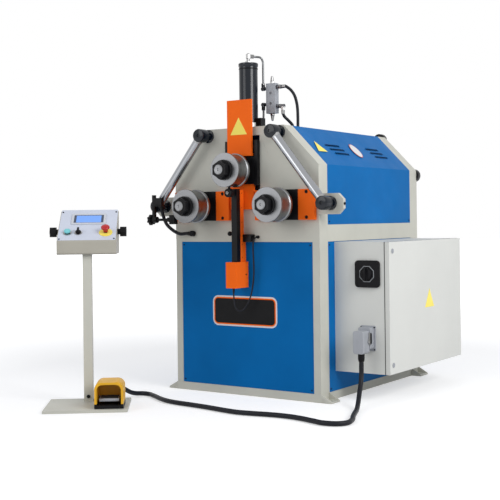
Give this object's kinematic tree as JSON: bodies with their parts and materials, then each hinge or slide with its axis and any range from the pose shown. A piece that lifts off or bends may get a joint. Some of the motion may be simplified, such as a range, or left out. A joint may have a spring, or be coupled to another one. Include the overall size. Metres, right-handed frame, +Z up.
{
  "type": "hydraulic profile bending machine",
  "caption": "Hydraulic three-roll profile bender with a sliding top roll, tie rods, radius gauge, electrical cabinet with door, a console on a post and a foot pedal joined by a floor cable.",
  "frame": {"origin": "On the floor at the middle of the machine frame's footprint, on the underside of the base's cross beam.", "axes": "+X to the machine's right as seen from its front, +Y to its back, +Z up."},
  "size_m": [1.4418, 1.8561, 1.587],
  "materials": {
    "grey_paint": "satin warm grey paint",
    "blue_paint": "satin blue paint",
    "cabinet_paint": "textured light grey paint",
    "orange_paint": "satin orange paint",
    "yellow_plastic": "yellow paint",
    "black_steel": "blackened steel",
    "polished_steel": "turned and polished",
    "chrome": "hard chrome",
    "aluminium": "cast and machined",
    "black_plastic": "moulded",
    "red_plastic": "moulded",
    "cyan_plastic": "moulded",
    "display": "glossy screen",
    "black_rubber": "smooth sheath"
  },
  "bodies": {
    "machine": {"base_frame": "grey_paint", "main_frame": "grey_paint", "front_panel": "blue_paint", "rear_panel": "blue_paint", "left_side_panel": "blue_paint", "right_side_panel": "blue_paint", "upper_cover": "blue_paint", "left_bearing_block": "black_steel", "right_bearing_block": "black_steel", "left_inner_clamp": "orange_paint", "left_outer_clamp": "orange_paint", "right_inner_clamp": "orange_paint", "right_outer_clamp": "orange_paint", "left_gib": "black_steel", "right_gib": "black_steel", "cylinder": "black_steel", "valve_block": "aluminium", "upper_hose": "black_rubber", "lower_hose": "black_rubber", "left_tie_rod": "chrome", "right_tie_rod": "chrome", "gauge_bracket": "orange_paint", "gauge_cable": "black_rubber", "guide_arm": "black_steel", "guide_hose": "black_rubber", "cabinet_box": "cabinet_paint", "main_switch_plate": "black_plastic", "connector_base": "aluminium", "connector_hood": "aluminium", "power_unit": "grey_paint", "console_stand": "grey_paint", "pedal_hood": "yellow_plastic", "floor_cable": "black_rubber"},
    "top_slide": {"slide_block": "black_steel", "upper_slide_cover": "orange_paint", "lower_slide_cover": "orange_paint", "piston_rod": "chrome"},
    "top_roll_set": {"top_roll": "polished_steel", "top_roll_spindle": "polished_steel"},
    "left_roll_set": {"left_roll": "polished_steel", "left_roll_spindle": "polished_steel"},
    "right_roll_set": {"right_roll": "polished_steel", "right_roll_spindle": "polished_steel"},
    "gauge_slider": {"gauge_bar": "black_steel"},
    "gauge_roller": {"gauge_follower": "black_steel"},
    "gauge_clamp": {"gauge_knob": "black_plastic"},
    "guide_screw": {"guide_knob": "black_plastic"},
    "guide_block": {"guide_pad": "black_plastic"},
    "door": {"cabinet_door": "cabinet_paint"},
    "lower_lock": {"lower_cabinet_lock": "black_plastic"},
    "upper_lock": {"upper_cabinet_lock": "black_plastic"},
    "switch_knob": {"main_switch_knob": "black_plastic"},
    "console_head": {"console_box": "cabinet_paint", "display": "display"},
    "left_tilt_clamp": {"left_clamp_knob": "black_plastic"},
    "right_tilt_clamp": {"right_clamp_knob": "black_plastic"},
    "start": {"start_button": "cyan_plastic"},
    "mode_selector": {"selector": "black_plastic"},
    "emergency_stop": {"stop_button": "red_plastic"},
    "pedal_treadle": {"treadle": "black_rubber"}
  },
  "joints": [
    {"name": "top_slide_travel", "type": "slide", "parent": "machine", "child": "top_slide", "axis": [0, 0, 1], "range_m": [-0.11, 0]},
    {"name": "left_roll_spin", "type": "hinge", "parent": "machine", "child": "left_roll_set", "pos_m": [-0.225, -0.614, 0.878], "axis": [0, 1, 0], "continuous": true},
    {"name": "right_roll_spin", "type": "hinge", "parent": "machine", "child": "right_roll_set", "pos_m": [0.225, -0.614, 0.878], "axis": [0, 1, 0], "continuous": true},
    {"name": "top_roll_spin", "type": "hinge", "parent": "top_slide", "child": "top_roll_set", "pos_m": [0, -0.614, 1.038], "axis": [0, 1, 0], "continuous": true},
    {"name": "gauge_travel", "type": "slide", "parent": "machine", "child": "gauge_slider", "axis": [0, 0, 1], "range_m": [-0.11, 0]},
    {"name": "follower_spin", "type": "hinge", "parent": "gauge_slider", "child": "gauge_roller", "pos_m": [0, -0.623, 0.935], "axis": [0, 1, 0], "continuous": true},
    {"name": "gauge_knob_turn", "type": "hinge", "parent": "gauge_slider", "child": "gauge_clamp", "pos_m": [-0.013, -0.543, 0.749], "axis": [1, 0, 0], "range_deg": [-180, 180]},
    {"name": "guide_screw_turn", "type": "hinge", "parent": "machine", "child": "guide_screw", "pos_m": [-0.46, -0.605, 0.817], "axis": [1, 0, 0], "range_deg": [-1080, 1080]},
    {"name": "guide_pad_travel", "type": "slide", "parent": "machine", "child": "guide_block", "axis": [1, 0, 0], "range_m": [-0.012, 0.012]},
    {"name": "door_swing", "type": "hinge", "parent": "machine", "child": "door", "pos_m": [0.658, 0.4235, 0.417], "axis": [0, 0, 1], "range_deg": [0, 120]},
    {"name": "lower_lock_turn", "type": "hinge", "parent": "door", "child": "lower_lock", "pos_m": [0.673, -0.34, 0.166], "axis": [1, 0, 0], "range_deg": [0, 90]},
    {"name": "upper_lock_turn", "type": "hinge", "parent": "door", "child": "upper_lock", "pos_m": [0.673, -0.34, 0.668], "axis": [1, 0, 0], "range_deg": [0, 90]},
    {"name": "main_switch_turn", "type": "hinge", "parent": "machine", "child": "switch_knob", "pos_m": [0.569, -0.3846, 0.567], "axis": [0, 1, 0], "range_deg": [0, 90]},
    {"name": "console_tilt", "type": "hinge", "parent": "machine", "child": "console_head", "pos_m": [-0.52744, -0.9844, 0.766], "axis": [0.7934, 0.6088, 0], "range_deg": [-12, 7]},
    {"name": "left_clamp_turn", "type": "hinge", "parent": "console_head", "child": "left_tilt_clamp", "pos_m": [-0.65121, -1.07937, 0.766], "axis": [0.7934, 0.6088, 0], "range_deg": [-180, 180]},
    {"name": "right_clamp_turn", "type": "hinge", "parent": "console_head", "child": "right_tilt_clamp", "pos_m": [-0.40368, -0.88943, 0.766], "axis": [0.7934, 0.6088, 0], "range_deg": [-180, 180]},
    {"name": "start_push", "type": "slide", "parent": "console_head", "child": "start", "axis": [-0.3377, 0.4401, -0.8321], "range_m": [0, 0.004], "stiffness_N_per_m": 400, "springref_m": -0.003},
    {"name": "selector_turn", "type": "hinge", "parent": "console_head", "child": "mode_selector", "pos_m": [-0.52666, -1.05112, 0.76239], "axis": [0.3377, -0.4401, 0.8321], "range_deg": [-45, 45]},
    {"name": "stop_push", "type": "slide", "parent": "console_head", "child": "emergency_stop", "axis": [-0.3377, 0.4401, -0.8321], "range_m": [0, 0.005]},
    {"name": "treadle_press", "type": "hinge", "parent": "machine", "child": "pedal_treadle", "pos_m": [-0.3524, -1.04168, 0.0463], "axis": [0.7934, 0.6088, 0], "range_deg": [0, 7], "stiffness_Nm_per_rad": 6, "springref_deg": -4.58}
  ],
  "couplings": [
    {"joint": "right_roll_spin", "follows": "left_roll_spin", "ratio": 1},
    {"joint": "top_roll_spin", "follows": "left_roll_spin", "ratio": -1},
    {"joint": "gauge_travel", "follows": "top_slide_travel", "ratio": 1},
    {"joint": "guide_screw_turn", "follows": "guide_pad_travel", "rad_per_m": 1570.8}
  ]
}
